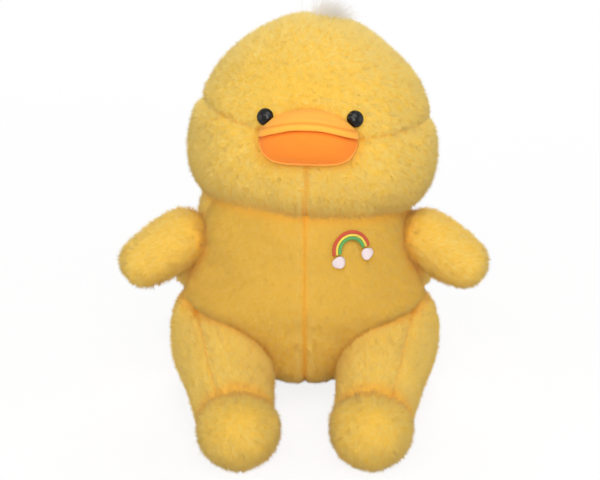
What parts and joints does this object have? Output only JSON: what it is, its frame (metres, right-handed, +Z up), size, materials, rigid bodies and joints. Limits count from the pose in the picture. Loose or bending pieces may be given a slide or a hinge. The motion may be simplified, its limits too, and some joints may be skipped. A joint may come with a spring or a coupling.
{
  "type": "plush duck",
  "caption": "Seated plush duck with a big round head, orange bill, glossy eyes, short arms and thick legs that turn at their seams.",
  "frame": {"origin": "middle of the flat seat that the duck sits on, on the floor", "axes": "+Z up, the duck faces -Y, +X is the duck's own left side"},
  "size_m": [0.3432, 0.314, 0.3652],
  "materials": {
    "plush": "short dense yellow pile, matt, soft sheen",
    "orange_short_nap": "smooth short nap, matt",
    "fibre_fill": "white polyester fibre fill",
    "black_gloss_plastic": "polished black moulding",
    "washer_plastic": "natural moulded plastic",
    "pale_hair": "loose pale hair",
    "red_thread": "satin stitch, soft gloss",
    "yellow_thread": "satin stitch, soft gloss",
    "green_thread": "satin stitch, soft gloss",
    "white_thread": "pinkish white fill stitch"
  },
  "bodies": {
    "torso": {"head_crown": "plush", "cheek_left": "plush", "cheek_right": "plush", "head_back_left": "plush", "head_back_right": "plush", "belly_left": "plush", "belly_right": "plush", "back_left": "plush", "back_right": "plush", "seat_panel": "plush", "bill_upper": "orange_short_nap", "bill_lower": "orange_short_nap", "head_stuffing": "fibre_fill", "bill_stuffing": "fibre_fill", "body_stuffing": "fibre_fill", "eye_left": "black_gloss_plastic", "eye_right": "black_gloss_plastic", "eye_washer_left": "washer_plastic", "eye_washer_right": "washer_plastic", "crown_tuft": "pale_hair", "rainbow_red": "red_thread", "rainbow_yellow": "yellow_thread", "rainbow_green": "green_thread", "cloud_left": "white_thread", "cloud_right": "white_thread"},
    "arm_left": {"arm_left_front": "plush", "arm_left_back": "plush", "arm_left_stuffing": "fibre_fill"},
    "arm_right": {"arm_right_front": "plush", "arm_right_back": "plush", "arm_right_stuffing": "fibre_fill"},
    "leg_left": {"leg_left_top": "plush", "leg_left_bottom": "plush", "foot_left_cover": "plush", "leg_left_stuffing": "fibre_fill", "foot_left_stuffing": "fibre_fill"},
    "leg_right": {"leg_right_top": "plush", "leg_right_bottom": "plush", "foot_right_cover": "plush", "leg_right_stuffing": "fibre_fill", "foot_right_stuffing": "fibre_fill"}
  },
  "joints": [
    {"name": "shoulder_left", "type": "hinge", "parent": "torso", "child": "arm_left", "pos_m": [0.112, -0.02, 0.152], "axis": [0, -1, 0], "range_deg": [-10, 35], "stiffness_Nm_per_rad": 0.25},
    {"name": "shoulder_right", "type": "hinge", "parent": "torso", "child": "arm_right", "pos_m": [-0.112, -0.02, 0.152], "axis": [0, 1, 0], "range_deg": [-10, 35], "stiffness_Nm_per_rad": 0.25},
    {"name": "hip_left", "type": "hinge", "parent": "torso", "child": "leg_left", "pos_m": [0.079, -0.01, 0.0488], "axis": [1, 0, 0], "range_deg": [0, 50], "stiffness_Nm_per_rad": 0.6},
    {"name": "hip_right", "type": "hinge", "parent": "torso", "child": "leg_right", "pos_m": [-0.079, -0.01, 0.0488], "axis": [1, 0, 0], "range_deg": [0, 50], "stiffness_Nm_per_rad": 0.6}
  ]
}
